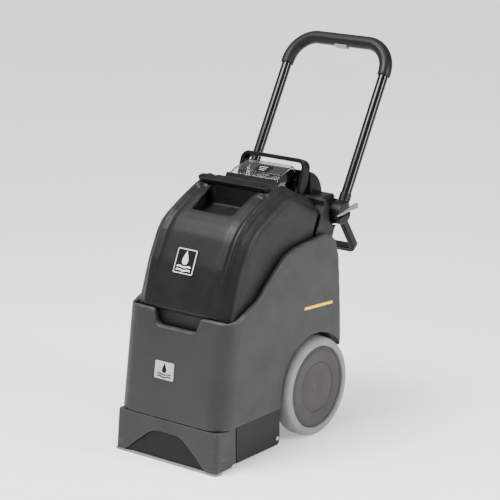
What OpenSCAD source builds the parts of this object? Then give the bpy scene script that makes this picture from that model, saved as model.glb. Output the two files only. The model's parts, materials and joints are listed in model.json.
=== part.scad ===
// Walk-behind carpet extractor: a vacuum shoe and a brush deck at the front carry a moulded solution
// tank, the recovery tank lifts out of it, and a folding push handle is hinged to the rear housing.
// Everything is drawn with the front lip of the shoe at y = 0 and the floor at z = 0, and place()
// moves it so that the origin is on the floor under the middle of the machine.

/* [Machine] */
// Depth from the front lip to the back of the grip
machine_l = 750; // [746:1:754]
// Width across the solution tank
body_w = 334; // [330:2:336]
// Wall of the moulded tanks
wall = 4; // [3:0.5:5]

/* [Shoe and deck] */
// Width of the vacuum shoe
shoe_w = 322; // [318:2:326]
// Height of the top of the shoe and deck
seam_z = 105; // [103:1:107]
// Outer diameter of the brush over its bristles
brush_d = 81; // [76:1:81]
// Length of the brush over its bristles
brush_l = 258; // [240:2:260]

/* [Solution tank] */
// Lean of the front face back from upright
front_lean = 8.5; // [7.5:0.5:9.5]
// Radius of the upright front corners
corner_r = 46; // [38:1:48]
// Height of the floor that the recovery tank rests on
nest_z = 290; // [284:1:294]

/* [Wheels] */
// Diameter of a wheel
wheel_d = 254; // [250:1:256]
// Width of a tyre
tyre_w = 49; // [45:1:49]
// Distance of the axle behind the front lip
axle_y = 385; // [382:1:388]
// Diameter of the axle
axle_d = 16; // [12:1:20]

/* [Recovery tank] */
// Width of the recovery tank
tank_w = 298; // [292:2:298]
// Lean of its front face back from upright
tank_lean = 22; // [20:1:24]
// Width of the clear dome
dome_w = 156; // [150:2:160]
// Thickness of the clear dome
dome_t = 2.5; // [2:0.5:3]

/* [Handle] */
// Lean of the push tubes back from upright
handle_lean = 29.5; // [28:0.5:31]
// Height of the handle hinge
hinge_z = 556; // [552:1:560]
// Length from the hinge to the middle of the cross bar
handle_l = 453; // [447:1:460]
// Distance between the push tubes
tube_gap = 308; // [306:1:310]
// Diameter of a push tube
tube_d = 26; // [22:1:26]
// Diameter of the grip
grip_d = 34; // [32:1:36]
// Bend radius of the grip corners
grip_bend = 75; // [60:1:90]

/* [Hidden] */
$fn = 64;

eps = 0.1;            // overshoot of a cut through a face
gap = 0.5;            // clearance between pieces of different bodies
run = 0.1;            // radial clearance of a turning fit

lip_y = -8;           // front of the shoe, the foremost point
wheel_r = wheel_d / 2;
arch_r = wheel_r + 11;
tyre_x = 123;         // inner face of a tyre
cap_x = 178;          // outer face of a hub cap
bay_x = 114;          // half width of the machine bay between the wheels

tube_back = 5;        // offset of the tubes behind the hinge axis
hinge_y = lip_y + machine_l - grip_d / 2 - handle_l * sin(handle_lean) - tube_back * cos(handle_lean);
tube_x = tube_gap / 2;
tube_foot = 24;       // start of a tube above the hinge axis
bail_turn = 147;      // direction of the lower bail, turned back and down from upright
sleeve_foot = 371;    // lower edge of the grip sleeve above the hinge axis

// Outline of the solution tank seen from the side, as [y, z]
front_foot = 5;
rim_front = 368;
function front_y(z) = front_foot + (z - seam_z) * tan(front_lean);
rim_line = [
    [front_y(rim_front), rim_front], [84, 371], [157, 403], [222, 460], [262, 490], [302, 504],
    [420, 515], [450, 510], [470, 490], [484, 447]
];
body_outline = concat(
    [[front_foot, seam_z]], rim_line, [[492, 329], [501, 212], [501, 90], [250, 90], [250, seam_z]]
);
rim_x = 150;          // inner face of the rim beside the tank
bay_front = 262;
bay_rear = 484;
bay_top = nest_z - 5;
nest_front = 60;
nest_rear = 404;
shelf_z = 484;        // shelf that carries the rear housing
shelf_rear = 476;

// Outline of the recovery tank seen from the side, as [y, z]
tank_foot = nest_z + gap;
tank_top_line = [
    [52, rim_front + 4], [89, 480], [126, 549], [147, 574], [168, 589], [220, 617], [282, 645],
    [309, 654], [438, 589]
];
tank_outline = concat(
    [[nest_front + 1, tank_foot], [nest_front + 1, rim_front + 1.5], [52, rim_front + 1.5]],
    tank_top_line,
    [[434, 580], [417, 548], [403, 518], [nest_rear - 1, 505], [nest_rear - 1, tank_foot]]
);
tank_bevel_x = 110;   // inner edge of the bevel along the top sides of the tank
tank_bevel_drop = 22;
// The top of the tank falls from its crest to the rear along this line
crest = [309, 654];
rear_slope = atan((654 - 589) / (438 - 309));

screw_x = 95;         // screws of the grab bar
foot_h = 7.6;         // feet under the grab bar

bail_pivot = [412, 614];
bail_lean = 20;
bail_l = 78;
frame_y = 26;         // front of the dome frame behind the crest
bail_x = 92;         // inner face of a bail arm
// Middle of the bail ears, measured along the rear slope and square to it
ear_step = bail_pivot - crest;
ear_y = ear_step[0] * cos(rear_slope) - ear_step[1] * sin(rear_slope);
ear_z = ear_step[0] * sin(rear_slope) + ear_step[1] * cos(rear_slope);

dome_outline = [[341, 630], [347, 654], [361, 664], [414, 678], [421, 672], [430, 590]];

brush_y = 128;
brush_z = brush_d / 2 + 0.5;
core_r = 22;          // core of the brush
shaft_r = 6;          // shaft of the brush
motor_y = 208;
motor_z = 60;
belt_x = -152;        // outer edge of the belt
belt_w = 7;
brush_pulley_r = 22;
motor_pulley_r = 11;
deck_x = 140;         // half width of the deck housing
deck_front = 76;
deck_rear = 246;
panel_x = 161;        // outer face of a deck side panel

strainer_r = 31.5;
// Suction duct: half width, its foot over the shoe, its rise into the nest, and its level run
duct_x = 41.5;
duct_front = 25;
duct_turn = 61;
duct_back = 200.5;
duct_rear = 239.5;
duct_low = seam_z + 7;
duct_top = seam_z + 43;

console_y = 430;
console_z = 596;
console_r = 68;
switch_x = 32;
gland_x = -70;
gland_y = 524;         // flat under the cord gland

// ---------------------------------------------------------------- shared shapes

// Moves the drawing so that the origin is under the middle of the machine
module place() translate([0, -lip_y - machine_l / 2, 0]) children();

// Draws the children and their mirror image across the middle plane
module both_sides() for (side = [0, 1]) mirror([side, 0, 0]) children();

// Slab across the machine with a [y, z] outline
module side_slab(outline, half_w)
    rotate([90, 0, 90]) translate([0, 0, -half_w]) linear_extrude(2 * half_w) polygon(outline);

// The same slab with every face moved inwards
module side_slab_in(outline, half_w, inset)
    rotate([90, 0, 90]) translate([0, 0, inset - half_w]) linear_extrude(2 * (half_w - inset))
        offset(delta = -inset) polygon(outline);

// Round bar across the machine from x0 to x1 through [y, z]
module rod_x(r, x0, x1, y = 0, z = 0)
    translate([x0, y, z]) rotate([0, 90, 0]) cylinder(r = r, h = x1 - x0);

// Box from its lowest corner to its highest corner
module box(low, high) translate(low) cube(high - low);

// Tall block whose front face leans back through [y, z] and has round upright corners
module lean_block(half_w, y, z, lean, r, inset = 0)
    translate([0, y, z]) rotate([-lean, 0, 0]) translate([0, inset, -400]) linear_extrude(1200)
        union() {
            translate([-half_w + r, 0]) square([2 * (half_w - r), 900]);
            translate([-half_w + inset, r - inset]) square([2 * (half_w - inset), 900]);
            for (side = [-1, 1]) translate([side * (half_w - r), r - inset]) circle(r - inset);
        }

// Cutters for a bevel on both sides of a top that only bends downwards: its inner edge runs at
// x_in along the [y, z] line, and it has dropped by the drop at x_out
module edge_bevel(line, x_in, x_out, drop, inset = 0)
    both_sides() for (i = [0 : len(line) - 2]) {
        step = line[i + 1] - line[i];
        translate([x_in, line[i][0], line[i][1]]) rotate([atan2(step[1], step[0]), 0, 0])
            translate([0, 0, -inset]) rotate([0, atan(drop / (x_out - x_in)), 0])
                box([-40, -900, 0], [150, 900, 200]);
    }

// Hollow pipe from one point to another
module pipe(from, to, r, bore) {
    run_line = to - from;
    translate(from)
        rotate([0, acos(run_line[2] / norm(run_line)), atan2(run_line[1], run_line[0])])
            difference() {
                cylinder(r = r, h = norm(run_line));
                translate([0, 0, -eps]) cylinder(r = bore, h = norm(run_line) + 2 * eps);
            }
}

// Frame of the push handle: the hinge axis is local x and the tubes run along local z
module on_handle() translate([0, hinge_y, hinge_z]) rotate([-handle_lean, 0, 0]) children();

// ---------------------------------------------------------------- solution tank and rear housing

module body_block()
    intersection() {
        side_slab(body_outline, body_w / 2);
        lean_block(body_w / 2, front_foot, seam_z, front_lean, corner_r);
        linear_extrude(600) offset(r = 14)
            translate([-body_w / 2 + 14, -100]) square([body_w - 28, 601 - 14]);
    }

module solution_tank() color([0.31, 0.31, 0.32]) difference() {
    body_block();
    // Wheel arches
    both_sides() rod_x(arch_r, bay_x + 5, body_w, axle_y, wheel_r);
    both_sides() box([bay_x + 5, axle_y - arch_r, 0], [body_w, axle_y + arch_r + 60, wheel_r]);
    // Bay for the motors, open below
    box([-bay_x, bay_front, 0], [bay_x, bay_rear, bay_top]);
    // Nest of the recovery tank and shelf of the rear housing
    side_slab([[nest_front, nest_z], [nest_rear, nest_z], [nest_rear, shelf_z],
               [shelf_rear, shelf_z], [shelf_rear, 600], [nest_front, 600]], rim_x);
    // Water space
    intersection() {
        box([-body_w, 0, seam_z + wall], [body_w, bay_front - wall, nest_z - wall]);
        lean_block(body_w / 2, front_foot, seam_z, front_lean, corner_r, wall);
    }
    // Notch in the front rim
    translate([0, 100, 0]) rotate([90, 0, 0]) linear_extrude(200)
        polygon([[-76, 372], [-62, 336], [-54, 330], [54, 330], [62, 336], [76, 372]]);
    // Fill opening, and the way through for the suction duct
    translate([80, 140, nest_z - 10]) cylinder(r = strainer_r, h = 20);
    box([-duct_x, duct_front, seam_z - eps], [duct_x, duct_turn, seam_z + wall + eps]);
    box([-duct_x, duct_back, nest_z - wall - eps], [duct_x, duct_rear, nest_z + eps]);
    // Bore of the axle
    rod_x(axle_d / 2, -body_w, body_w, axle_y, wheel_r);
}

module fill_strainer() color("gainsboro") translate([80, 140, nest_z - 48]) difference() {
    cylinder(r = strainer_r, h = 48);
    translate([0, 0, 2]) cylinder(r = strainer_r - 2, h = 60);
    for (a = [0 : 30 : 330]) rotate([0, 0, a]) box([20, -3, 10], [40, 3, 38]);
}

// Duct that rises from the shoe, runs back over the floor of the tank and rises to the nest
module duct_way(inset, overshoot) {
    side = duct_x - inset;
    box([-side, duct_front + inset, seam_z - overshoot], [side, duct_turn - inset, duct_top - inset]);
    box([-side, duct_front + inset, duct_low + inset], [side, duct_rear - inset, duct_top - inset]);
    box([-side, duct_back + inset, duct_low + inset], [side, duct_rear - inset, nest_z + overshoot]);
}

module suction_duct() color([0.1, 0.1, 0.1]) difference() {
    duct_way(0, 0);
    duct_way(2.5, 1);
}

housing_outline = [
    [406, shelf_z], [408, 516], [421, 544], [442, 582], [443, 594], [450, 602],
    [498, 602], [506, 590], [506, 530], [488, 516], [475, shelf_z]
];

module rear_housing() color([0.13, 0.13, 0.13]) difference() {
    union() {
        side_slab(housing_outline, rim_x - gap);
        rod_x(33, -bay_x, bay_x, hinge_y, hinge_z);
    }
    // Hollow of the housing, open below
    side_slab_in(housing_outline, bay_x - 4, 3);
    box([-bay_x + 7, 412, shelf_z - 1], [bay_x - 7, 470, shelf_z + 10]);
    // Room for the hinge bosses, the knuckles and the swing of the tubes
    both_sides() rod_x(34, bay_x, body_w, hinge_y, hinge_z);
    both_sides() translate([tube_x - 17, hinge_y, hinge_z]) rotate([90, 0, 90])
        linear_extrude(40) polygon([[-8, -7], [-106, 107], [110, 107], [90, 50], [12, -14]]);
    // Bores of the hinge pins
    both_sides() rod_x(7, 100, bay_x + 1, hinge_y, hinge_z);
    // Flat and bore of the cord gland
    box([gland_x - 17, gland_y, hinge_z - 26], [gland_x + 17, gland_y + 40, hinge_z + 26]);
    translate([gland_x, gland_y + 1, hinge_z]) rotate([90, 0, 0]) cylinder(r = 9, h = 25);
}

module console() color([0.09, 0.09, 0.09]) difference() {
    intersection() {
        rod_x(console_r, -100, 100, console_y, console_z);
        box([-100, 448, 602], [100, 500, 700]);
    }
    intersection() {
        rod_x(console_r - 3, -97, 97, console_y, console_z);
        box([-97, 451, 600], [97, 500, 700]);
    }
    for (side = [-1, 1]) on_console(side * switch_x) box([-11.5, -17, -20], [11.5, 17, 10]);
}

// Frame on the rear slope of the console, with local z square to its surface
module on_console(x)
    translate([x, console_y, console_z]) rotate([-50, 0, 0]) translate([0, 0, console_r]) children();

module rocker(x) on_console(x) union() {
    rotate([0, 90, 0]) translate([0, 0, -10.5]) linear_extrude(21)
        polygon([[-4, -15], [-1.5, 0], [-4, 15], [4, 15], [9, 4], [9, -4], [4, -15]]);
    rod_x(2.5, -11.4, 11.4, 0, -2);
}
module vacuum_switch() color("black") rocker(-switch_x);
module brush_switch() color("black") rocker(switch_x);

module cord_gland() color([0.06, 0.06, 0.06]) translate([gland_x, gland_y, hinge_z]) rotate([-90, 0, 0])
    difference() {
        union() {
            cylinder(r = 14, h = 6);
            translate([0, 0, 6]) cylinder(r1 = 11, r2 = 8, h = 22);
            translate([0, 0, -12]) cylinder(r = 9, h = 12);
        }
        translate([0, 0, -13]) cylinder(r = 4.5, h = 50);
    }

module body_badge() color("silver")
    translate([-22, front_y(225), 225]) rotate([90 - front_lean, 0, 0])
        linear_extrude(1.2) offset(r = 3) square([54, 38], center = true);

module side_stripes() color([0.9, 0.86, 0.12]) both_sides()
    translate([body_w / 2, 0, 0]) rotate([90, 0, 90]) linear_extrude(0.6)
        polygon([[338, 338], [455, 330], [455, 337], [338, 345]]);

// ---------------------------------------------------------------- shoe and brush deck

shoe_outline = [[lip_y, 6], [4, seam_z - gap], [72, seam_z - gap], [72, 12], [60, 12], [56, 6]];

module vacuum_shoe() color([0.31, 0.31, 0.32]) difference() {
    intersection() {
        side_slab(shoe_outline, shoe_w / 2);
        lean_block(shoe_w / 2, lip_y, 6, 6, 14);
    }
    // Hollow, open below and behind
    intersection() {
        side_slab([[lip_y + wall, 0], [8, seam_z - 5], [80, seam_z - 5], [80, 0]], shoe_w / 2 - wall);
        lean_block(shoe_w / 2, lip_y, 6, 6, 14, wall);
    }
    // Arch in the front face
    translate([0, 30, 0]) rotate([90, 0, 0]) linear_extrude(60)
        polygon([[-127, 0], [-127, 8], [-66, 58], [-46, 71], [-28, 75], [28, 75], [46, 71],
                 [66, 58], [127, 8], [127, 0]]);
    // Port of the duct
    box([-duct_x, duct_front, seam_z - 10], [duct_x, duct_turn, seam_z + 10]);
}

module shoe_duct() color([0.07, 0.07, 0.07]) difference() {
    intersection() {
        side_slab([[-2, 6.5], [10, seam_z - 8], [66, seam_z - 8], [66, 78], [34, 72], [18, 6.5]],
                  shoe_w / 2 - 2 * wall);
        translate([0, 80, 0]) rotate([90, 0, 0]) linear_extrude(100)
            polygon([[-148, 6], [-148, 14], [-100, 84], [-80, 97], [80, 97], [100, 84],
                     [148, 14], [148, 6]]);
    }
    side_slab([[2, 0], [2, 6.5], [13, seam_z - 11], [60, seam_z - 11], [60, 81], [31, 75],
               [15, 6.5], [15, 0]], shoe_w / 2 - 3 * wall - 4);
    box([-duct_x + 2.5, duct_front + 2.5, seam_z - 20], [duct_x - 2.5, duct_turn - 2.5, seam_z + 10]);
}

module shoe_lip() color([0.66, 0.66, 0.66]) difference() {
    box([-shoe_w / 2 + 1, -5, 0], [shoe_w / 2 - 1, 20, 6]);
    box([-shoe_w / 2 + 14, 3, -eps], [shoe_w / 2 - 14, 14, 7]);
}

module brush_deck() color([0.1, 0.1, 0.1]) difference() {
    box([-deck_x, deck_front, 14], [deck_x, deck_rear, seam_z - gap]);
    // Brush chamber and motor bay, open below
    box([-deck_x + 4, deck_front + 4, -eps], [deck_x - 4, 171, seam_z - 5]);
    box([-deck_x + 4, 175, -eps], [deck_x - 4, deck_rear - 4, seam_z - 5]);
    // Bores of the bushes and of the motor shaft
    rod_x(10, -deck_x - eps, deck_x + eps, brush_y, brush_z);
    rod_x(8, -deck_x - eps, -deck_x + 5, motor_y, motor_z);
}

module deck_panel() difference() {
    box([deck_x + gap, deck_front - 2, 12], [panel_x, deck_rear, seam_z - gap]);
    box([deck_x, deck_front + 2, 16], [panel_x - 3, deck_rear - 4, seam_z - 5]);
    translate([0, deck_rear - 12, 24]) difference() {
        box([0, 0, -12 - eps], [body_w, 12 + eps, 0]);
        rod_x(12, 0, body_w);
    }
    rod_x(2.2, deck_x, body_w, 235, 30);
}
module deck_side_left() color([0.08, 0.08, 0.08]) mirror([1, 0, 0]) deck_panel();
module deck_side_right() color([0.08, 0.08, 0.08]) deck_panel();

module deck_screws() color("silver") both_sides() difference() {
    union() {
        rod_x(2.1, deck_x, panel_x, 235, 30);
        rod_x(5, panel_x, panel_x + 2, 235, 30);
    }
    translate([panel_x + 1, 235, 30]) box([0, -3.5, -0.6], [3, 3.5, 0.6]);
}

module brush_bushes() color("goldenrod") both_sides() difference() {
    rod_x(10, deck_x - 8, deck_x + 0.4, brush_y, brush_z);
    rod_x(shaft_r + run / 2, deck_x - 10, deck_x + 2, brush_y, brush_z);
}

module brush_shaft() color("silver") union() {
    rod_x(shaft_r, -150, deck_x - gap, brush_y, brush_z);
    rod_x(core_r, -brush_l / 2, brush_l / 2, brush_y, brush_z);
}

module brush_bristles() color("navy") difference() {
    rod_x(brush_d / 2, -brush_l / 2, brush_l / 2, brush_y, brush_z);
    rod_x(core_r, -brush_l, brush_l, brush_y, brush_z);
}

module grooved_pulley(r, bore) difference() {
    union() {
        rod_x(r - 1, belt_x, belt_x + belt_w);
        rod_x(r + 2, belt_x - 1.5, belt_x - 0.2);
        rod_x(r + 2, belt_x + belt_w + 0.2, belt_x + belt_w + 1.5);
        rod_x(r - 2, belt_x - 1.5, belt_x + belt_w + 1.5);
    }
    if (bore > 0) rod_x(bore, belt_x - 5, belt_x + 20);
}

module brush_pulley() color("gray") translate([0, brush_y, brush_z])
    grooved_pulley(brush_pulley_r, shaft_r);

module motor_pulley() color("gray") translate([0, motor_y, motor_z]) union() {
    grooved_pulley(motor_pulley_r, 0);
    rod_x(5, belt_x, -30);
}

module drive_belt() color([0.05, 0.05, 0.05]) translate([belt_x, 0, 0]) rotate([90, 0, 90])
    linear_extrude(belt_w) difference() {
        belt_loop(1.6);
        belt_loop(-0.95);
    }
module belt_loop(grow) hull() {
    translate([brush_y, brush_z]) circle(brush_pulley_r + grow);
    translate([motor_y, motor_z]) circle(motor_pulley_r + grow);
}

module brush_motor() color("dimgray") difference() {
    union() {
        rod_x(30, -60, 80, motor_y, motor_z);
        rod_x(18, 80, 92, motor_y, motor_z);
        box([-50, motor_y - 16, motor_z + 20], [-34, motor_y + 16, seam_z - 5]);
        box([54, motor_y - 16, motor_z + 20], [70, motor_y + 16, seam_z - 5]);
    }
    rod_x(5 + run / 2, -61, -29, motor_y, motor_z);
}

module spray_manifold() color([0.15, 0.15, 0.15]) union() {
    rod_x(6, -96, 96, 253, 84);
    for (x = [-70, 70]) translate([x, 253, 70]) cylinder(r = 7, h = 14);
    for (x = [-40, 40]) box([x - 6, deck_rear, 80], [x + 6, 252, 88]);
}

module spray_nozzles() color("goldenrod") for (x = [-70, 70]) translate([x, 253, 54])
    difference() {
        union() {
            cylinder(r1 = 3, r2 = 5, h = 6);
            translate([0, 0, 6]) cylinder(r = 6, h = 10);
        }
        box([-4, -0.6, -1], [4, 0.6, 2]);
    }

// ---------------------------------------------------------------- chassis and wheels

module chassis_tray() color([0.08, 0.08, 0.08]) difference() {
    box([-bay_x, bay_front, 58], [bay_x, bay_rear, 236]);
    box([-bay_x + 3, bay_front + 3, 61], [bay_x - 3, bay_rear - 3, 300]);
    rod_x(axle_d / 2, -bay_x - 5, bay_x + 5, axle_y, wheel_r);
    for (y = [290 : 16 : 354]) box([-60, y, 50], [60, y + 6, 62]);
}

module axle() color("silver") difference() {
    rod_x(axle_d / 2, -170, 170, axle_y, wheel_r);
    both_sides() difference() {
        rod_x(axle_d / 2 + 1, 166, 168, axle_y, wheel_r);
        rod_x(axle_d / 2 - 1.5, 165, 169, axle_y, wheel_r);
    }
}

module axle_clips() color("black") both_sides() difference() {
    rod_x(axle_d / 2 + 3.5, 166.1, 167.9, axle_y, wheel_r);
    rod_x(axle_d / 2 - 1.5, 165, 169, axle_y, wheel_r);
    box([160, axle_y - 3, wheel_r - 20], [175, axle_y + 3, wheel_r]);
}

// Solid of revolution about the axle from an [r, x] outline
module turned(outline)
    translate([0, axle_y, wheel_r]) rotate([0, 90, 0]) rotate_extrude($fn = 96) polygon(outline);

module wheel_tyre() turned([
    [98, tyre_x + 3], [118, tyre_x], [wheel_r - 3, tyre_x + 3], [wheel_r, tyre_x + 9],
    [wheel_r, tyre_x + tyre_w - 8], [wheel_r - 2.5, tyre_x + tyre_w - 2.5],
    [118, tyre_x + tyre_w + 1], [105, tyre_x + tyre_w + 1], [98, tyre_x + tyre_w - 4]
]);

module wheel_hub() turned([
    [axle_d / 2 + run, tyre_x - 3], [18, tyre_x - 3], [20, tyre_x + 12], [88, tyre_x + 14],
    [90, tyre_x + 4], [98, tyre_x + 4], [98, tyre_x + tyre_w - 5], [90, tyre_x + tyre_w - 5],
    [88, tyre_x + 20], [24, tyre_x + 18], [20, tyre_x + 32], [axle_d / 2 + run, tyre_x + 32]
]);

module wheel_cap() turned([
    [0, cap_x - 1.5], [0, cap_x - 5], [84, cap_x - 8], [86, tyre_x + tyre_w - 14],
    [87.8, tyre_x + tyre_w - 14], [87.8, tyre_x + tyre_w - 4.5], [97.5, tyre_x + tyre_w - 3.5],
    [104.5, tyre_x + tyre_w + 1.2], [103, cap_x - 3.5], [94, cap_x], [68, cap_x - 1],
    [66, cap_x - 2.5], [40, cap_x - 2], [38, cap_x - 0.8], [12, cap_x - 0.5]
]);

module tyre_right() color([0.6, 0.6, 0.6]) wheel_tyre();
module hub_right() color([0.25, 0.25, 0.25]) wheel_hub();
module hub_cap_right() color([0.27, 0.26, 0.25]) wheel_cap();
module tyre_left() color([0.6, 0.6, 0.6]) mirror([1, 0, 0]) wheel_tyre();
module hub_left() color([0.25, 0.25, 0.25]) mirror([1, 0, 0]) wheel_hub();
module hub_cap_left() color([0.27, 0.26, 0.25]) mirror([1, 0, 0]) wheel_cap();

module vacuum_motor() color("slategray") translate([0, 405, 0]) difference() {
    union() {
        translate([0, 0, 142]) cylinder(r = 66, h = 52);
        translate([0, 0, 194]) cylinder(r = 44, h = 62);
        translate([0, 0, 256]) cylinder(r = 22, h = bay_top - 256);
        for (a = [45 : 90 : 315]) rotate([0, 0, a])
            translate([58, 0, 136]) cylinder(r = 6, h = 10);
    }
    translate([0, 0, 141]) cylinder(r = 24, h = 12);
}

module pump() color([0.2, 0.22, 0.3]) union() {
    box([20, 280, 61], [90, 340, 66]);
    rod_x(26, 24, 86, 310, 92);
    rod_x(20, -34, 24, 310, 92);
    translate([70, 310, 92]) cylinder(r = 8, h = 44);
}

module solution_hose() color([0.5, 0.55, 0.6]) union() {
    pipe([70, 310, 150], [70, 310, 136.5], 7, 5);
    translate([70, 296, 150]) rotate([90, 0, 90])
        rotate_extrude(angle = 90) translate([14, 0]) difference() { circle(7); circle(5); }
    pipe([70, 296, 164], [70, bay_front + 3, 164], 7, 5);
}

// ---------------------------------------------------------------- recovery tank

// Outer form of the recovery tank, with every face moved inwards by the inset
module tank_block(inset = 0)
    difference() {
        intersection() {
            side_slab_in(tank_outline, tank_w / 2, inset);
            lean_block(tank_w / 2, 44, rim_front, tank_lean, 40, inset);
        }
        edge_bevel(tank_top_line, tank_bevel_x, tank_w / 2, tank_bevel_drop, inset);
    }

// Hand pocket in the top of the tank, from [y, z] at its mouth
module pocket(grow)
    intersection() {
        linear_extrude(700) offset(r = 12 + grow)
            polygon([[-52, 191], [52, 191], [56, 258], [-56, 258]]);
        side_slab([[170, 700], [170 - grow, 580 - grow], [214, 572 - grow],
                   [271 + grow, 590 - grow], [271 + grow, 700]], 100);
    }

module recovery_tank() color([0.17, 0.17, 0.17]) difference() {
    union() {
        difference() {
            tank_block();
            tank_block(wall);
        }
        intersection() {
            tank_block();
            pocket(wall);
        }
    }
    pocket(0);
    // Opening under the dome
    box([-64, 352, 560], [64, 412, 700]);
    // Inlet over the suction duct
    box([-39, 203, tank_foot - 1], [39, 237, tank_foot + wall + 1]);
    // Pilot holes of the grab bar
    on_grab_bar() for (x = [-screw_x, screw_x]) translate([x, 0, -foot_h - 11]) cylinder(r = 2, h = 20);
}

module tank_riser() color([0.12, 0.12, 0.12]) difference() {
    box([-41.5, 200.5, tank_foot + wall], [41.5, 239.5, 560]);
    box([-39, 203, 0], [39, 237, 700]);
}

module float_cage() color("whitesmoke") translate([50, 350, 0]) difference() {
    union() {
        translate([0, 0, 470]) cylinder(r = 26, h = 120);
        translate([0, 0, tank_foot + wall]) cylinder(r = 6, h = 470 - tank_foot - wall + 1);
    }
    translate([0, 0, 473]) cylinder(r = 23.5, h = 114);
    for (a = [0 : 60 : 300]) rotate([0, 0, a]) box([15, -7, 480], [40, 7, 570]);
    translate([0, 0, 560]) cylinder(r = 16, h = 60);
}

module float_ball() color("orange") translate([50, 350, 496]) sphere(r = 21);

module dome_frame() color([0.08, 0.08, 0.08]) translate([0, crest[0], crest[1]])
    rotate([-rear_slope, 0, 0]) difference() {
        union() {
            box([-bail_x + gap, frame_y, 0.2], [bail_x - gap, 141, 3]);
            box([-dome_w / 2 - 4, frame_y, 0.2], [dome_w / 2 + 4, frame_y + 5, 16]);
            both_sides() translate([0, ear_y, 0]) {
                box([dome_w / 2 + 6, -10, 1], [bail_x - gap, 10, ear_z]);
                rod_x(10, dome_w / 2 + 6, bail_x - gap, 0, ear_z);
            }
        }
        box([-66, 44, -1], [66, 120, 5]);
        both_sides() rod_x(4 + run, dome_w / 2, bail_x, ear_y, ear_z);
    }

module dome_block(inset)
    intersection() {
        side_slab_in(dome_outline, dome_w / 2, inset);
        translate([0, 500, 0]) rotate([90, 0, 0]) linear_extrude(300) offset(delta = -inset)
            polygon([[-78, 580], [-78, 645], [-74, 664], [-66, 690], [66, 690], [74, 664],
                     [78, 645], [78, 580]]);
    }

module dome() color([0.85, 0.88, 0.9, 0.5]) difference() {
    dome_block(0);
    dome_block(dome_t);
    translate([0, crest[0], crest[1]]) rotate([-rear_slope, 0, 0])
        box([-200, -60, -80], [200, 200, 3.3]);
    translate([0, crest[0], crest[1]]) rotate([-rear_slope, 0, 0])
        box([-200, -60, -80], [200, frame_y + 5.3, 16.3]);
}

module on_bail() translate([0, bail_pivot[0], bail_pivot[1]]) rotate([-bail_lean, 0, 0]) children();

module tank_bail() color([0.12, 0.12, 0.12]) on_bail() union() {
    rotate([90, 0, 0]) translate([0, 0, -13]) linear_extrude(26) difference() {
        offset(r = 24) translate([-bail_x + 14, 15]) square([2 * bail_x - 28, bail_l - 34]);
        offset(r = 15) translate([-bail_x + 15, -40]) square([2 * bail_x - 30, bail_l + 20]);
        translate([-200, -60]) square([400, 64]);
    }
    both_sides() rod_x(9.5, bail_x, bail_x + 10);
    both_sides() rod_x(4, bail_x - 5, bail_x + 5);
}

// Frame of the grab bar, with local z square to its underside
module on_grab_bar() translate([0, 268, 647.4]) rotate([22, 0, 0]) children();

module grab_bar() color([0.11, 0.11, 0.11]) on_grab_bar() difference() {
    union() {
        linear_extrude(11) hull() for (x = [-98, 98]) translate([x, 0]) circle(11);
        for (x = [-screw_x, screw_x]) translate([x, 0, -foot_h]) cylinder(r = 9, h = foot_h + 1);
    }
    for (x = [-screw_x, screw_x]) translate([x, 0, -20]) cylinder(r = 2, h = 40);
    for (x = [-screw_x, screw_x]) translate([x, 0, 6]) cylinder(r = 4.5, h = 20);
}

module grab_bar_screws() color("silver") on_grab_bar() for (x = [-screw_x, screw_x]) {
    translate([x, 0, -foot_h - 10]) cylinder(r = 2, h = foot_h + 17);
    translate([x, 0, 6]) cylinder(r = 4, h = 2.4);
}

module tank_badge() color([0.05, 0.05, 0.05])
    translate([-10, 88.7, 480]) rotate([90 - 23.5, 0, 0]) translate([0, 8, 0])
        linear_extrude(1.6) offset(r = 3) square([54, 56], center = true);

// ---------------------------------------------------------------- push handle

module hinge_bosses() color([0.1, 0.1, 0.1]) both_sides() difference() {
    rod_x(33, bay_x, tube_x - 15.5, hinge_y, hinge_z);
    rod_x(7, bay_x - 1, tube_x, hinge_y, hinge_z);
}

module hinge_pins() color("silver") both_sides()
    rod_x(7, bay_x - 10, tube_x - 3, hinge_y, hinge_z);

module knuckle() on_handle() difference() {
    union() {
        rod_x(30, tube_x - 15, tube_x + 13);
        rod_x(27, tube_x + 12, tube_x + 18);
        translate([tube_x, tube_back, 0]) cylinder(r = 15, h = 52);
    }
    rod_x(7 + run, tube_x - 20, tube_x - 2);
    rod_x(4 + run, tube_x - 4, tube_x + 20);
    translate([tube_x, tube_back, tube_foot]) cylinder(r = tube_d / 2, h = 60);
    // Slot of the release lever
    rotate([handle_lean, 0, 0]) rotate([90, 0, 90]) translate([0, 0, tube_x + 10])
        linear_extrude(20) polygon([[-40, -15], [0, -6], [40, -1], [40, 21], [0, 7], [-40, 1]]);
    // Seat of the lower bail
    rotate([handle_lean - bail_turn, 0, 0]) translate([tube_x - 9, -10, 23]) cube([18, 20, 40]);
}
module knuckle_right() color([0.1, 0.1, 0.1]) knuckle();
module knuckle_left() color([0.1, 0.1, 0.1]) mirror([1, 0, 0]) knuckle();

module push_tube() on_handle() translate([tube_x, tube_back, tube_foot]) difference() {
    cylinder(r = tube_d / 2, h = sleeve_foot + 16 - tube_foot);
    translate([0, 0, -eps]) cylinder(r = tube_d / 2 - 1.5, h = 500);
}
module tube_right() color([0.03, 0.03, 0.03]) push_tube();
module tube_left() color([0.03, 0.03, 0.03]) mirror([1, 0, 0]) push_tube();

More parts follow.
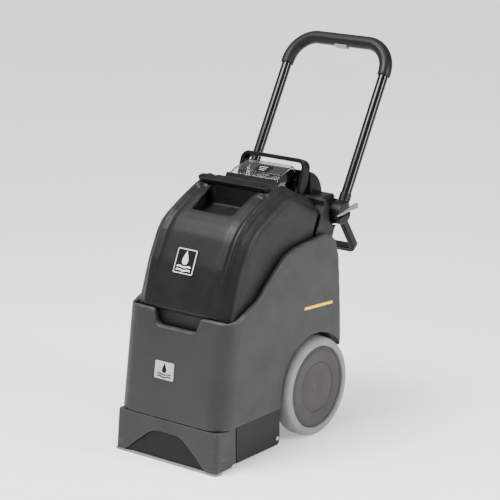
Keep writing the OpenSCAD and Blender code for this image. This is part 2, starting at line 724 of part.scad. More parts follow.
module handle_grip() color([0.09, 0.09, 0.09]) on_handle() translate([0, tube_back, 0]) difference() {
    union() {
        both_sides() translate([tube_x, 0, sleeve_foot])
            cylinder(r = grip_d / 2, h = handle_l - grip_bend - sleeve_foot + eps);
        both_sides() translate([tube_x - grip_bend, 0, handle_l - grip_bend]) rotate([90, 0, 0])
            rotate_extrude(angle = 90) translate([grip_bend, 0]) circle(grip_d / 2);
        rod_x(grip_d / 2, grip_bend - tube_x - eps, tube_x - grip_bend + eps, 0, handle_l);
    }
    both_sides() translate([tube_x, 0, sleeve_foot - 1]) cylinder(r = tube_d / 2, h = 17);
    box([-20.5, -8.5, handle_l - 30], [20.5, 8.5, handle_l - 2]);
}

module spray_trigger() color([0.65, 0.65, 0.65]) on_handle() translate([0, tube_back, 0])
    box([-19.5, -7.8, handle_l - 21], [19.5, 7.8, handle_l - 8]);

module release_lever() translate([0, hinge_y, hinge_z]) union() {
    rotate([90, 0, 90]) translate([0, 0, tube_x + 11]) linear_extrude(5)
        polygon([[-26, -5.5], [-26, -0.5], [0, 4], [28, 11], [60, 15], [62, 1], [30, 0], [0, -4]]);
    rod_x(4, tube_x + 1, tube_x + 12);
}
module release_lever_right() color([0.55, 0.55, 0.55]) release_lever();
module release_lever_left() color([0.55, 0.55, 0.55]) mirror([1, 0, 0]) release_lever();

module lower_bail() color([0.09, 0.09, 0.09]) translate([0, hinge_y, hinge_z])
    rotate([-bail_turn, 0, 0]) rotate([90, 0, 0]) translate([0, 0, -10]) linear_extrude(20) difference() {
        offset(r = 24) translate([-tube_x + 15, 24]) square([2 * tube_x - 30, 89]);
        offset(r = 8) translate([-tube_x + 15, -40]) square([2 * tube_x - 30, 153]);
        translate([-200, -60]) square([400, 84]);
    }

place() solution_tank();
place() fill_strainer();
place() vacuum_shoe();
place() shoe_duct();
place() shoe_lip();
place() brush_deck();
place() deck_side_left();
place() deck_side_right();
place() deck_screws();
place() brush_bushes();
place() brush_shaft();
place() brush_bristles();
place() brush_pulley();
place() drive_belt();
place() brush_motor();
place() motor_pulley();
place() spray_manifold();
place() spray_nozzles();
place() pump();
place() solution_hose();
place() vacuum_motor();
place() suction_duct();
place() chassis_tray();
place() axle();
place() axle_clips();
place() tyre_left();
place() hub_left();
place() hub_cap_left();
place() tyre_right();
place() hub_right();
place() hub_cap_right();
place() recovery_tank();
place() tank_riser();
place() float_cage();
place() float_ball();
place() dome_frame();
place() dome();
place() tank_bail();
place() grab_bar();
place() grab_bar_screws();
place() rear_housing();
place() console();
place() vacuum_switch();
place() brush_switch();
place() cord_gland();
place() hinge_bosses();
place() hinge_pins();
place() knuckle_left();
place() knuckle_right();
place() tube_left();
place() tube_right();
place() handle_grip();
place() spray_trigger();
place() release_lever_left();
place() release_lever_right();
place() lower_bail();
place() body_badge();
place() tank_badge();
place() side_stripes();
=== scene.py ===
"""Studio view of a walk-behind carpet extractor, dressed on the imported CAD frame.

Every smooth moulding here starts from the CAD node it stands for, so places and sizes come from the
frame. Lengths are in metres in the row frame: x to the right seen from the front, y to the rear, z up.
"""

import json
import math

import bpy
import numpy as np
from mathutils import Matrix, Vector
from mathutils.bvhtree import BVHTree

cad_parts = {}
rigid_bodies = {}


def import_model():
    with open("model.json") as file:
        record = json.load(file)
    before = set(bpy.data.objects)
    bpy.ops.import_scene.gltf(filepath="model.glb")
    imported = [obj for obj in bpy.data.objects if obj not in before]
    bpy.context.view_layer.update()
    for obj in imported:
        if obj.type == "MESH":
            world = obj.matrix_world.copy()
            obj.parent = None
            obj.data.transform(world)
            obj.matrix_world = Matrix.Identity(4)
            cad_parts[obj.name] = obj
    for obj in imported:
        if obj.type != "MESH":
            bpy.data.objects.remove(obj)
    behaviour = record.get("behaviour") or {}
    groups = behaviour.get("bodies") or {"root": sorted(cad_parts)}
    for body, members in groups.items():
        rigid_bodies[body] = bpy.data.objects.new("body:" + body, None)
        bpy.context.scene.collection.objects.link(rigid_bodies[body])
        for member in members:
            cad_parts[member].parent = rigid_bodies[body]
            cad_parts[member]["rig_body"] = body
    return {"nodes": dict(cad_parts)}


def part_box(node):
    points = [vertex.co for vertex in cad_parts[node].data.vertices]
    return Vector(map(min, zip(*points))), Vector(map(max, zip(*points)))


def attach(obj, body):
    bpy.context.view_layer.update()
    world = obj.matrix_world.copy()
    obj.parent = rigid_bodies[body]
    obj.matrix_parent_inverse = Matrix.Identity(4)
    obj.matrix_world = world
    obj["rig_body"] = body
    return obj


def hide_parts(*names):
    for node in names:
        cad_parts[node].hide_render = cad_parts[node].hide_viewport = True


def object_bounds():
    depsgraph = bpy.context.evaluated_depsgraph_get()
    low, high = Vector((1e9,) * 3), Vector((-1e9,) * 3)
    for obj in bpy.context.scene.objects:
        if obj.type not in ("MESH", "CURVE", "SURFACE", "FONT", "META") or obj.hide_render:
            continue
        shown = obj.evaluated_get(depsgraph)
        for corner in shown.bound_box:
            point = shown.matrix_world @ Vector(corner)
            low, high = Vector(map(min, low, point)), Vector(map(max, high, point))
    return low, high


MM = 0.001

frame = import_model()
cad_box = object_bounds()
nodes = frame["nodes"]


# ---------------------------------------------------------------- materials


class Graph:
    """A material's node tree, with short calls for the nodes used below."""

    def __init__(self, name):
        self.material = bpy.data.materials.new(name)
        self.material.use_nodes = True
        self.tree = self.material.node_tree
        self.shader = self.tree.nodes["Principled BSDF"]
        self.place = self.add("ShaderNodeTexCoord").outputs["Object"]

    def add(self, kind, **settings):
        node = self.tree.nodes.new(kind)
        for key, value in settings.items():
            setattr(node, key, value)
        return node

    def link(self, source, target):
        self.tree.links.new(source, target)

    def noise(self, scale, detail=3.0, roughness=0.5, stretch=(1, 1, 1)):
        """Value noise from 0 to 1 with features about 1/scale metres long."""
        mapping = self.add("ShaderNodeMapping")
        mapping.inputs["Scale"].default_value = stretch
        self.link(self.place, mapping.inputs["Vector"])
        node = self.add("ShaderNodeTexNoise")
        node.inputs["Scale"].default_value = scale
        node.inputs["Detail"].default_value = detail
        node.inputs["Roughness"].default_value = roughness
        self.link(mapping.outputs["Vector"], node.inputs["Vector"])
        return node.outputs["Fac"]

    def cells(self, scale):
        """Distance to the nearest of scattered points, for a pebbled grain."""
        node = self.add("ShaderNodeTexVoronoi", feature="SMOOTH_F1")
        node.inputs["Scale"].default_value = scale
        self.link(self.place, node.inputs["Vector"])
        return node.outputs["Distance"]

    def spread(self, source, low, high, start=0.0, end=1.0):
        """The source from low..high moved to start..end and held there outside."""
        node = self.add("ShaderNodeMapRange")
        node.inputs["From Min"].default_value = low
        node.inputs["From Max"].default_value = high
        node.inputs["To Min"].default_value = start
        node.inputs["To Max"].default_value = end
        self.link(source, node.inputs["Value"])
        return node.outputs["Result"]

    def times(self, first, second):
        node = self.add("ShaderNodeMath", operation="MULTIPLY")
        self.link(first, node.inputs[0])
        self.link(second, node.inputs[1])
        return node.outputs["Value"]

    def mix(self, factor, first, second):
        """Colour mix; first and second are sockets or colours."""
        node = self.add("ShaderNodeMix", data_type="RGBA")
        self.link(factor, node.inputs["Factor"])
        for value, socket in ((first, node.inputs[6]), (second, node.inputs[7])):
            if isinstance(value, tuple):
                socket.default_value = (*value, 1.0)
            else:
                self.link(value, socket)
        return node.outputs[2]

    def bump(self, height, depth, normal=None):
        node = self.add("ShaderNodeBump")
        node.inputs["Distance"].default_value = depth
        self.link(height, node.inputs["Height"])
        if normal is not None:
            self.link(normal, node.inputs["Normal"])
        return node.outputs["Normal"]

    def height(self):
        """Height above the floor."""
        node = self.add("ShaderNodeSeparateXYZ")
        self.link(self.place, node.inputs["Vector"])
        return node.outputs["Z"]

    def facing_up(self):
        node = self.add("ShaderNodeSeparateXYZ")
        self.link(self.add("ShaderNodeNewGeometry").outputs["Normal"], node.inputs["Vector"])
        return node.outputs["Z"]

    def edges(self):
        """Sharp outer edges, from 0 to 1."""
        return self.spread(self.add("ShaderNodeNewGeometry").outputs["Pointiness"], 0.51, 0.56)

    def set(self, socket, value):
        """A number, a colour or a link on the shader's own socket."""
        target = self.shader.inputs[socket]
        if isinstance(value, bpy.types.NodeSocket):
            self.link(value, target)
        elif isinstance(value, tuple):
            target.default_value = (*value, 1.0)
        else:
            target.default_value = value


def lighter(colour, by):
    """The colour with each channel times by, up to white."""
    return tuple(min(1.0, c * by) for c in colour)


def moulded(
    name, colour, roughness, grain=900, depth=0.00012, dust=0.18, wear=0.25, spread=0.14,
    specular=0.24, speck=1.45,
):
    """Textured moulded plastic: pebbled grain, uneven shine, a little dust on top and paler edges.

    grain is pebbles per metre and depth their height in metres. spread is how far the colour drifts,
    and speck how many times paler the fine specks are.
    """
    g = Graph(name)
    patches = g.spread(g.noise(9, 4), 0.3, 0.7)
    base = g.mix(patches, lighter(colour, 1 - spread), lighter(colour, 1 + spread))
    specks = g.spread(g.noise(grain, 2), 0.42, 0.68, 0.0, 0.35)
    base = g.mix(specks, base, lighter(colour, speck))
    fall = g.times(g.spread(g.facing_up(), 0.5, 1.0, 0.0, dust), g.spread(g.noise(35, 5), 0.35, 0.75))
    base = g.mix(fall, base, (0.13, 0.128, 0.122))
    rub = g.times(g.edges(), g.spread(g.noise(60, 4), 0.4, 0.75, 0.0, wear))
    base = g.mix(rub, base, lighter(colour, 2.2))
    g.set("Base Color", base)
    shine = g.spread(g.noise(22, 4), 0.3, 0.7, roughness - 0.06, roughness + 0.08)
    g.set("Roughness", shine)
    pebbles = g.bump(g.cells(grain), depth)
    g.set("Normal", g.bump(g.noise(grain * 2.3, 3), depth * 0.5, pebbles))
    g.set("Specular IOR Level", specular)
    return g.material


def glossy(name, colour, roughness, scratch=0.1, specular=0.5):
    """Painted or polished surface with fine scratches and a faint uneven film."""
    g = Graph(name)
    film = g.spread(g.noise(14, 5), 0.35, 0.7)
    g.set("Base Color", g.mix(film, lighter(colour, 0.93), lighter(colour, 1.09)))
    hair = g.noise(320, 4, 0.6, (1, 0.06, 0.06))
    g.set("Roughness", g.spread(hair, 0.35, 0.75, roughness, roughness + scratch))
    g.set("Normal", g.bump(hair, 0.00002))
    g.set("Specular IOR Level", specular)
    return g.material


def metal(name, colour, roughness, stretch=(0.08, 1, 1)):
    """Worked metal with the lay of its machining and small stains."""
    g = Graph(name)
    stains = g.spread(g.noise(40, 5), 0.45, 0.8)
    g.set("Base Color", g.mix(stains, colour, lighter(colour, 0.72)))
    lay = g.noise(900, 3, 0.6, stretch)
    g.set("Roughness", g.spread(lay, 0.3, 0.7, roughness - 0.07, roughness + 0.1))
    g.set("Normal", g.bump(lay, 0.00003))
    g.set("Metallic", 1.0)
    return g.material


def rubber(name, colour, roughness=0.75):
    """Tyre rubber: matt, finely pitted, with scuffs and dirt towards the tread."""
    g = Graph(name)
    scuffs = g.spread(g.noise(28, 6, 0.65), 0.42, 0.7)
    base = g.mix(scuffs, colour, lighter(colour, 0.78))
    specks = g.spread(g.noise(420, 2), 0.6, 0.75, 0.0, 0.5)
    g.set("Base Color", g.mix(specks, base, lighter(colour, 0.55)))
    g.set("Roughness", g.spread(g.noise(50, 4), 0.3, 0.7, roughness - 0.08, roughness + 0.1))
    g.set("Normal", g.bump(g.noise(1400, 3), 0.00015, g.bump(g.noise(120, 4), 0.0002)))
    g.set("Specular IOR Level", 0.3)
    return g.material


def clear(name, tint):
    """Clear moulded cover with a faint film and hairline scratches."""
    g = Graph(name)
    film = g.noise(30, 5)
    g.set("Base Color", g.mix(g.spread(film, 0.3, 0.7), tint, lighter(tint, 0.96)))
    g.set("Roughness", g.spread(g.noise(260, 4, 0.6, (1, 0.1, 1)), 0.4, 0.8, 0.01, 0.07))
    g.set("Normal", g.bump(film, 0.0003))
    g.set("Transmission Weight", 1.0)
    g.set("IOR", 1.49)
    return g.material


def body_grey():
    """Mid grey moulding of the shoe and solution tank, scuffed near the floor."""
    g = Graph("grey_moulding")
    colour = (0.022, 0.022, 0.0223)
    base = g.mix(g.spread(g.noise(7, 4), 0.3, 0.7), lighter(colour, 0.88), lighter(colour, 1.12))
    base = g.mix(g.spread(g.noise(1500, 2), 0.5, 0.7, 0.0, 0.5), base, lighter(colour, 1.6))
    low = g.spread(g.height(), 0.11, 0.01)
    scuffs = g.times(low, g.spread(g.noise(45, 6, 0.7, (0.5, 1, 2.5)), 0.54, 0.7, 0.0, 0.3))
    base = g.mix(scuffs, base, (0.10, 0.10, 0.095))
    dust = g.times(g.spread(g.facing_up(), 0.4, 1.0, 0.0, 0.35), g.spread(g.noise(30, 5), 0.3, 0.75))
    base = g.mix(dust, base, (0.13, 0.128, 0.125))
    rub = g.times(g.edges(), g.spread(g.noise(50, 4), 0.35, 0.7, 0.0, 0.5))
    g.set("Base Color", g.mix(rub, base, (0.11, 0.11, 0.113)))
    g.set("Roughness", g.spread(g.noise(18, 5), 0.3, 0.7, 0.42, 0.56))
    grain = g.bump(g.cells(1100), 0.00010)
    ripple = g.bump(g.noise(26, 2), 0.0006, grain)
    g.set("Normal", ripple)
    g.set("Specular IOR Level", 0.25)
    return g.material


def lip_metal():
    """Ribbed vacuum lip with carpet lint in the ribs."""
    g = Graph("lip_alloy")
    wave = g.add("ShaderNodeTexWave", wave_type="BANDS", bands_direction="X")
    wave.inputs["Scale"].default_value = 45
    wave.inputs["Distortion"].default_value = 0.6
    g.link(g.place, wave.inputs["Vector"])
    lint = g.spread(g.noise(160, 5, 0.7), 0.45, 0.7)
    g.set("Base Color", g.mix(lint, (0.22, 0.22, 0.22), (0.06, 0.06, 0.06)))
    g.set("Roughness", g.spread(g.noise(80, 4), 0.3, 0.7, 0.35, 0.6))
    g.set("Normal", g.bump(wave.outputs["Fac"], 0.0004, g.bump(g.noise(700, 3), 0.00015)))
    g.set("Metallic", 0.2)
    return g.material


def bristle_fibre():
    """Brush filaments: radial streaks of dark blue nylon with pale worn tips."""
    g = Graph("bristle")
    strands = g.noise(700, 3, 0.6, (1, 0.25, 0.25))
    g.set("Base Color", g.mix(g.spread(strands, 0.35, 0.7), (0.01, 0.012, 0.03), (0.06, 0.07, 0.14)))
    g.set("Roughness", g.spread(strands, 0.3, 0.7, 0.5, 0.75))
    g.set("Normal", g.bump(strands, 0.0008))
    return g.material


finishes = {
    "grey": body_grey(),
    "tank": moulded(
        "black_grain", (0.0055, 0.0055, 0.0056), 0.38, 520, 0.0005, 0.05, 0.35, specular=0.2, speck=3.2
    ),
    "black": moulded("black_plastic", (0.0042, 0.0042, 0.0044), 0.32, dust=0.05, specular=0.16),
    "soft": moulded("black_soft", (0.0065, 0.0065, 0.0068), 0.42, 1300, 0.00008, 0.05, 0.2, specular=0.18),
    "lever": moulded("grey_plastic", (0.15, 0.15, 0.15), 0.36, 1200, 0.00006),
    "white": moulded("white_plastic", (0.72, 0.72, 0.70), 0.35, 1500, 0.00004, 0.1, 0.0, 0.05),
    "orange": moulded("orange_plastic", (0.75, 0.18, 0.02), 0.35, 1500, 0.00004, 0.05, 0.0, 0.05),
    "motor": moulded("motor_shell", (0.11, 0.12, 0.14), 0.4, 1500, 0.00003),
    "hose": moulded("hose", (0.22, 0.25, 0.28), 0.4, 1500, 0.00003),
    "cap": moulded("hub_grey", (0.030, 0.028, 0.0265), 0.42, 1300, 0.00007, 0.12, 0.35),
    "tube": glossy("tube_black", (0.0022, 0.0022, 0.0025), 0.14, 0.08, 0.30),
    "yellow": glossy("yellow", (0.95, 0.60, 0.0), 0.6, 0.1, 0.05),
    "label": glossy("label_dark", (0.003, 0.003, 0.003), 0.6, 0.1, 0.15),
    "print": glossy("print_pale", (0.60, 0.60, 0.60), 0.45),
    "badge": metal("badge_silver", (0.60, 0.60, 0.61), 0.32),
    "steel": metal("steel", (0.56, 0.57, 0.58), 0.28),
    "alloy": metal("alloy", (0.45, 0.46, 0.47), 0.35),
    "bronze": metal("bronze", (0.55, 0.36, 0.16), 0.38),
    "tyre": rubber("tyre", (0.19, 0.19, 0.19)),
    "belt": rubber("belt_rubber", (0.02, 0.02, 0.02), 0.7),
    "clear": clear("clear", (0.93, 0.95, 0.96)),
    "lip": lip_metal(),
    "bristle": bristle_fibre(),
}


# ---------------------------------------------------------------- mesh work


def new_object(name, mesh, finish, smooth=True):
    """An object in the scene with one finish on it."""
    piece = bpy.data.objects.new(name, mesh)
    bpy.context.scene.collection.objects.link(piece)
    piece.data.materials.clear()
    piece.data.materials.append(finishes[finish])
    if smooth:
        piece.data.shade_smooth()
    return piece


def settled(piece):
    """The piece with its modifiers made part of its mesh."""
    graph = bpy.context.evaluated_depsgraph_get()
    graph.update()
    mesh = bpy.data.meshes.new_from_object(piece.evaluated_get(graph))
    old = piece.data
    piece.modifiers.clear()
    piece.data = mesh
    bpy.data.meshes.remove(old)
    return piece


def joined_frame(piece, node):
    """The piece rides on its node's body and stands for the node, whose CAD mesh is hidden."""
    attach(piece, nodes[node]["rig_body"])
    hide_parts(node)
    return piece


def eased(piece, passes, weight):
    """More smoothing passes where the weight of a vertex, from its place, is above 0."""
    place, _ = arrays(piece.data)
    weights = weight(place)
    group = piece.vertex_groups.new(name="eased")
    for level in range(1, 9):
        chosen = np.flatnonzero(np.round(weights * 8) == level)
        if len(chosen):
            group.add([int(i) for i in chosen], level / 8, "REPLACE")
    easing = piece.modifiers.new("easing", "SMOOTH")
    easing.vertex_group = group.name
    easing.factor = 0.5
    easing.iterations = passes
    settled(piece)
    piece.vertex_groups.clear()


def softened(node, finish, cell, passes, keep=0.3, ease=None, shape=None):
    """A moulded copy of a CAD node: remeshed with that cell size, edges rounded by smoothing passes."""
    piece = new_object(f"{node}_moulding", nodes[node].data.copy(), finish)
    remesh = piece.modifiers.new("cells", "REMESH")
    remesh.mode = "VOXEL"
    remesh.voxel_size = cell * MM
    rounding = piece.modifiers.new("rounding", "SMOOTH")
    rounding.factor = 0.5
    rounding.iterations = passes
    settled(piece)
    if ease:
        eased(piece, *ease)
    if shape:
        shape(piece.data)
    thin = piece.modifiers.new("thin", "DECIMATE")
    thin.ratio = keep
    settled(piece)
    piece.data.shade_smooth()
    piece.data.materials.clear()
    piece.data.materials.append(finishes[finish])
    return joined_frame(piece, node)


def arrays(mesh):
    """Vertex places and normals of a mesh, as two arrays."""
    count = len(mesh.vertices)
    place, normal = np.zeros(count * 3), np.zeros(count * 3)
    mesh.vertices.foreach_get("co", place)
    mesh.vertices.foreach_get("normal", normal)
    return place.reshape(-1, 3), normal.reshape(-1, 3)


def put(mesh, place):
    """Moves the mesh's vertices to these places."""
    mesh.vertices.foreach_set("co", place.ravel())
    mesh.update()


def lathe(name, profile, centre, side, finish, steps=160):
    """Solid of revolution about an x axis through the centre from (radius, x) points, mirrored by side."""
    vertices, faces = [], []
    for k in range(steps):
        turn = 2 * math.pi * k / steps
        for radius, x in profile:
            vertices.append(
                (side * x, centre.y + radius * math.cos(turn), centre.z + radius * math.sin(turn))
            )
    count = len(profile)
    for k in range(steps):
        after = (k + 1) % steps
        for i in range(count):
            j = (i + 1) % count
            ring = [k * count + i, k * count + j, after * count + j, after * count + i]
            faces.append(ring if side > 0 else ring[::-1])
    mesh = bpy.data.meshes.new(name)
    mesh.from_pydata(vertices, [], faces)
    mesh.validate()
    return new_object(name, mesh, finish)


def rounded(points, radius, steps=4):
    """A closed outline with each corner replaced by a short curve."""
    out = []
    count = len(points)
    for i, point in enumerate(points):
        here = Vector(point)
        before, after = Vector(points[i - 1]), Vector(points[(i + 1) % count])
        to_before, to_after = before - here, after - here
        reach = min(radius, to_before.length * 0.45, to_after.length * 0.45)
        start, end = here + to_before.normalized() * reach, here + to_after.normalized() * reach
        for k in range(steps + 1):
            t = k / steps
            out.append(tuple(start * (1 - t) ** 2 + here * 2 * t * (1 - t) + end * t**2))
    return out


def prism(name, outline, depth, matrix, finish, edge=0.0004):
    """A flat outline in the matrix's own xy plane, raised by the depth, with eased edges."""
    count = len(outline)
    vertices = [(x, y, 0.0) for x, y in outline] + [(x, y, depth) for x, y in outline]
    faces = [list(range(count))[::-1], [count + i for i in range(count)]]
    faces += [[i, (i + 1) % count, count + (i + 1) % count, count + i] for i in range(count)]
    mesh = bpy.data.meshes.new(name)
    mesh.from_pydata(vertices, [], faces)
    mesh.transform(matrix)
    piece = new_object(name, mesh, finish, smooth=False)
    if edge:
        ease = piece.modifiers.new("ease", "BEVEL")
        ease.width, ease.segments, ease.limit_method = edge, 2, "ANGLE"
        settled(piece)
    return piece


# ---------------------------------------------------------------- mouldings


def ramp(value, low, high):
    """0 at low, 1 at high, straight between them and held outside."""
    return np.clip((value - low) / (high - low), 0, 1)


def tank_bends(place):
    """Where the recovery tank's surface rolls over: outside the ridges and down its front."""
    low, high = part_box("recovery_tank")
    across = np.abs(place[:, 0])
    above_rim = ramp(place[:, 2], low.z + 0.05, low.z + 0.1)
    shoulders = ramp(across, high.x - 0.036, high.x - 0.026)
    front = ramp(place[:, 1], low.y + 0.115, low.y + 0.103)
    return np.maximum(shoulders, front) * above_rim


def tank_ridges(mesh):
    """Groove and ridge beside the tank's top panel, and the two mounds that carry the grab bar."""
    groove_depth, groove_inset, groove_reach = 0.0042, 0.050, 0.0105
    ridge_height, ridge_inset, ridge_reach = 0.0040, 0.035, 0.0065
    mound_height, mound_length, mound_width = 0.0062, 0.014, 0.017
    place, normal = arrays(mesh)
    low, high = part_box("recovery_tank")
    across = np.abs(place[:, 0])
    outer = ramp(normal[:, 2], 0.1, 0.3) * ramp(place[:, 2], low.z + 0.08, low.z + 0.16)
    groove = -groove_depth * np.exp(-(((across - (high.x - groove_inset)) / groove_reach) ** 2))
    ridge = ridge_height * np.exp(-(((across - (high.x - ridge_inset)) / ridge_reach) ** 2))
    top = ramp(high.z - place[:, 2], 0.0, 0.004)
    lift = outer * (groove + ridge * top)
    bar_low, bar_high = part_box("grab_bar")
    along = (place[:, 1] - (bar_low.y + bar_high.y) / 2 - 0.005) / mound_length
    beside = (across - (bar_high.x - 0.014)) / mound_width
    mound = ramp(place[:, 2], bar_low.z - 0.03, bar_low.z - 0.015) * np.exp(-(along**4) - beside**4)
    lift = lift * (1 - mound) + mound_height * mound * ramp(normal[:, 2], 0.1, 0.3)
    put(mesh, place + normal * lift[:, None])


def frame_ends(mesh):
    """The two upper corners of the dome's frame, seen from the front, turned to quarter circles."""
    place, _ = arrays(mesh)
    low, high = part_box("dome_frame")
    radius = 0.016
    reach = ramp(np.abs(place[:, 0]), high.x - radius, high.x)
    drop = radius * (1 - np.sqrt(1 - reach**2))
    place[:, 2] -= drop * ramp(place[:, 2], high.z - 2 * radius, high.z - radius)
    put(mesh, place)


softened("solution_tank", "grey", 2.6, 20, 0.35)
softened("recovery_tank", "tank", 2.2, 10, 0.35, (130, tank_bends), tank_ridges)
softened("vacuum_shoe", "grey", 1.6, 4, 0.4)
softened("rear_housing", "tank", 2.0, 4, 0.35)
softened("console", "black", 1.0, 4)
softened("grab_bar", "black", 1.0, 4)
softened("tank_bail", "black", 1.1, 9)
softened("lower_bail", "black", 1.2, 24)
softened("handle_grip", "soft", 1.4, 4)
softened("spray_trigger", "lever", 0.7, 4)
softened("dome_frame", "black", 0.9, 8, shape=frame_ends)
softened("hinge_bosses", "black", 1.2, 4)
softened("shoe_duct", "black", 1.6, 4)
for side in ("left", "right"):
    softened(f"knuckle_{side}", "black", 1.0, 4)
    softened(f"release_lever_{side}", "lever", 0.6, 4)
    softened(f"deck_side_{side}", "black", 1.2, 4)
for switch in ("vacuum_switch", "brush_switch"):
    softened(switch, "soft", 0.5, 3)
softened("dome", "clear", 0.9, 8, 0.5)


# ---------------------------------------------------------------- wheels


def wheel(side_name, side):
    """Tyre with a proud round shoulder and, set back inside it, a hub cap with three rings."""
    low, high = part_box(f"tyre_{side_name}")
    cap_low, cap_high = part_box(f"hub_cap_{side_name}")
    centre = (low + high) / 2
    radius = (high.z - low.z) / 2
    inner = min(abs(low.x), abs(high.x)) + 0.004
    outer = max(abs(cap_low.x), abs(cap_high.x)) - 0.0005
    seat, bead, lip = outer - 0.008, radius - 0.029, radius - 0.0215

    tyre = rounded(
        [
            (bead, inner + 0.004), (radius - 0.012, inner), (radius - 0.003, inner + 0.003),
            (radius, inner + 0.010), (radius, outer - 0.013), (radius - 0.003, outer - 0.004),
            (radius - 0.010, outer), (lip + 0.002, outer - 0.0005), (lip, outer - 0.003),
            (lip, seat), (bead, seat - 0.001),
        ],
        0.004,
    )
    joined_frame(
        lathe(f"tyre_{side_name}_rubber", tyre, centre, side, "tyre"), f"tyre_{side_name}"
    )

    face, rim = outer - 0.0035, lip - 0.0006
    front = [(0.0, face - 0.0020), (0.030, face - 0.0018)]
    front += [(0.062, face - 0.0016), (0.0635, face - 0.0026), (0.065, face - 0.0010)]
    front += [(0.092, face), (0.099, face - 0.0016), (rim - 0.001, face - 0.0025)]
    back = [(rim, seat + 0.0004), (bead, seat + 0.0003), (0.088, seat + 0.0002)]
    back += [(0.0875, face - 0.015), (0.0862, face - 0.015), (0.084, face - 0.005), (0.0, face - 0.004)]
    cap = rounded(front + back, 0.0012, 3)
    joined_frame(
        lathe(f"hub_cap_{side_name}_disc", cap, centre, side, "cap"),
        f"hub_cap_{side_name}",
    )


wheel("right", 1)
wheel("left", -1)


# ---------------------------------------------------------------- badges and marks


def landing(node, start, direction):
    """Frame where a ray meets a CAD node: x level and to the right, z out of its surface."""
    mesh = nodes[node].data
    tree = BVHTree.FromPolygons([v.co for v in mesh.vertices], [f.vertices for f in mesh.polygons])
    place, normal, _, _ = tree.ray_cast(Vector(start), Vector(direction))
    if normal.dot(Vector(direction)) > 0:
        normal.negate()
    right = Vector((-normal.y, normal.x, 0.0)).normalized() if abs(normal.z) < 0.999 else Vector((1, 0, 0))
    if right.x < 0:
        right.negate()
    matrix = Matrix((right, normal.cross(right), normal)).transposed().to_4x4()
    matrix.translation = place
    return matrix


def on_plate(node):
    """Frame on the outer face of a badge plate that faces the front."""
    low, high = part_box(node)
    middle = (low + high) / 2
    return landing(node, (middle.x, low.y - 0.1, middle.z), (0, 1, 0))


def drop_outline(width, height, steps=40):
    """A water drop with its point up, about the origin."""
    out = []
    for k in range(steps):
        turn = 2 * math.pi * k / steps
        pinch = math.sin(turn / 2) ** 1.6
        out.append((width / 2 * math.sin(turn) * pinch, height / 2 * math.cos(turn)))
    return out[::-1]


def box_outline(width, height, corner):
    """A rectangle with round corners about the origin."""
    x, y = width / 2, height / 2
    return rounded([(-x, -y), (x, -y), (x, y), (-x, y)], corner, 5)


def marked(piece, node):
    """The piece rides with its node."""
    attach(piece, nodes[node]["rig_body"])
    return piece


def badge(node, border, field, mark, width, height):
    """A plain plate with a raised border, a field and a drop over two waves."""
    matrix = on_plate(node)
    depth, field_depth, mark_depth = 0.0012, 0.0003, 0.0005
    back = matrix @ Matrix.Translation((0, 0, -depth))
    joined_frame(
        prism(f"{node}_plate", box_outline(width, height, 0.004), depth, back, border), node
    )
    inset = prism(
        f"{node}_field", box_outline(width - 0.005, height - 0.005, 0.003), field_depth, matrix, field, 0
    )
    marked(inset, node)
    lifted = matrix @ Matrix.Translation((0, height * 0.15, field_depth))
    outline = drop_outline(height * 0.42, height * 0.58)
    drop = prism(f"{node}_drop", outline, mark_depth, lifted, mark, 0)
    marked(drop, node)
    steps, swing = 24, 0.0013
    reach, half = width * 0.36, height * 0.034
    for k in range(2):
        mid = -height * (0.22 + 0.14 * k)
        line = [
            (reach * (2 * i / steps - 1), mid + swing * math.sin(3 * math.pi * i / steps))
            for i in range(steps + 1)
        ]
        outline = [(x, y - half) for x, y in line] + [(x, y + half) for x, y in line[::-1]]
        lifted = matrix @ Matrix.Translation((0, 0, field_depth))
        marked(prism(f"{node}_wave_{k}", outline, mark_depth, lifted, mark, 0), node)


badge("body_badge", "badge", "badge", "label", 0.060, 0.044)
badge("tank_badge", "print", "label", "print", 0.060, 0.062)


# ---------------------------------------------------------------- labels and pictograms


def dome_label():
    """Small dark label with plain bars on the top of the dome."""
    low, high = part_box("dome")
    middle = (low + high) / 2
    matrix = landing("dome", (middle.x + 0.006, middle.y - 0.008, high.z + 0.1), (0, 0, -1))
    outline = box_outline(0.044, 0.030, 0.002)
    marked(prism("dome_label", outline, 0.0003, matrix, "label", 0), "dome")
    for k in range(3):
        lifted = matrix @ Matrix.Translation((-0.004 + 0.002 * k, 0.008 - 0.008 * k, 0.0003))
        bar = box_outline(0.026 - 0.004 * k, 0.0016, 0.0006)
        marked(prism(f"dome_label_bar_{k}", bar, 0.0001, lifted, "print", 0), "dome")


def pictogram(node, bars):
    """Plain strokes on the face of a rocker switch."""
    low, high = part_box(node)
    middle = (low + high) / 2
    matrix = landing(node, (middle.x, middle.y + 0.06, middle.z + 0.05), (0, -0.77, -0.64))
    for k, (x, y, width, height) in enumerate(bars):
        lifted = matrix @ Matrix.Translation((x, y, 0.0001))
        outline = box_outline(width, height, 0.0003)
        marked(prism(f"{node}_mark_{k}", outline, 0.0002, lifted, "print", 0), node)


dome_label()
pictogram("vacuum_switch", [(0, 0.003, 0.008, 0.0012), (0, 0, 0.005, 0.0012), (0, -0.003, 0.002, 0.0012)])
pictogram("brush_switch", [(x, 0, 0.001, 0.007) for x in (-0.004, -0.002, 0, 0.002, 0.004)])


# ---------------------------------------------------------------- finishes of the CAD pieces

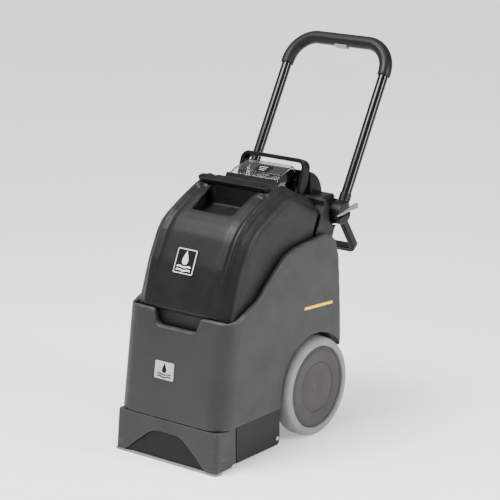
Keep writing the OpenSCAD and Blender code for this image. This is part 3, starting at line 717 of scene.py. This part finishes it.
kept = {
    "white": ("fill_strainer", "float_cage"),
    "orange": ("float_ball",),
    "lip": ("shoe_lip",),
    "black": (
        "brush_deck", "spray_manifold", "suction_duct", "chassis_tray", "tank_riser",
        "cord_gland", "hub_left", "hub_right", "axle_clips", "grab_bar_screws",
    ),
    "steel": ("deck_screws", "brush_shaft", "axle", "hinge_pins"),
    "alloy": ("brush_pulley", "motor_pulley"),
    "bronze": ("brush_bushes", "spray_nozzles"),
    "bristle": ("brush_bristles",),
    "belt": ("drive_belt",),
    "motor": ("brush_motor", "pump", "vacuum_motor"),
    "hose": ("solution_hose",),
    "tube": ("tube_left", "tube_right"),
    "yellow": ("side_stripes",),
}
for finish, names in kept.items():
    for name in names:
        nodes[name].data.materials.clear()
        nodes[name].data.materials.append(finishes[finish])


# ---------------------------------------------------------------- studio


def floor():
    """Pale paper that glows a little, so that the machine stands in a bright surround."""
    mesh = bpy.data.meshes.new("floor")
    half = 12.0
    mesh.from_pydata(
        [(-half, -half, 0), (half, -half, 0), (half, half, 0), (-half, half, 0)], [], [[0, 1, 2, 3]]
    )
    piece = bpy.data.objects.new("floor", mesh)
    bpy.context.scene.collection.objects.link(piece)
    g = Graph("floor_paper")
    shade = g.spread(g.noise(2, 3), 0.3, 0.7)
    g.set("Base Color", g.mix(shade, (0.90, 0.90, 0.895), (0.92, 0.92, 0.915)))
    g.set("Roughness", 0.8)
    g.set("Emission Color", (1.0, 1.0, 1.0))
    g.set("Emission Strength", 0.4)
    mesh.materials.append(g.material)


def area_light(name, place, aim, size, power):
    """A soft box of that width and height in metres, turned to the aim."""
    lamp = bpy.data.lights.new(name, "AREA")
    lamp.shape, lamp.size, lamp.size_y, lamp.energy = "RECTANGLE", size[0], size[1], power
    lit = bpy.data.objects.new(name, lamp)
    bpy.context.scene.collection.objects.link(lit)
    lit.location = place
    lit.rotation_euler = (Vector(aim) - Vector(place)).to_track_quat("-Z", "Y").to_euler()


def studio():
    """Floor, an overhead and a right-hand soft box, broad daylight and the camera."""
    floor()
    centre = (Vector(cad_box[0]) + Vector(cad_box[1])) / 2
    area_light("overhead", (-0.4, -1.2, 2.6), centre, (1.1, 0.9), 105)
    area_light("right_side", (3.0, 0.4, 1.7), centre, (0.7, 1.8), 120)
    sun = bpy.data.lights.new("sky", "SUN")
    sun.energy, sun.angle = 2.7, math.radians(60)
    sky = bpy.data.objects.new("sky", sun)
    sky.rotation_euler = (math.radians(22), math.radians(-18), 0)
    bpy.context.scene.collection.objects.link(sky)
    world = bpy.data.worlds.new("studio")
    bpy.context.scene.world = world
    world.use_nodes = True
    world.node_tree.nodes["Background"].inputs["Color"].default_value = (1.0, 1.0, 1.0, 1)
    world.node_tree.nodes["Background"].inputs["Strength"].default_value = 0.42

    lens = bpy.data.cameras.new("camera")
    lens.lens, lens.sensor_width = 144, 36
    camera = bpy.data.objects.new("camera", lens)
    bpy.context.scene.collection.objects.link(camera)
    camera.location = (2.9973, -3.8462, 1.7713)
    aim = Vector((0.0031, -0.0397, 0.4682))
    camera.rotation_euler = (aim - camera.location).to_track_quat("-Z", "Y").to_euler()
    bpy.context.scene.camera = camera


studio()
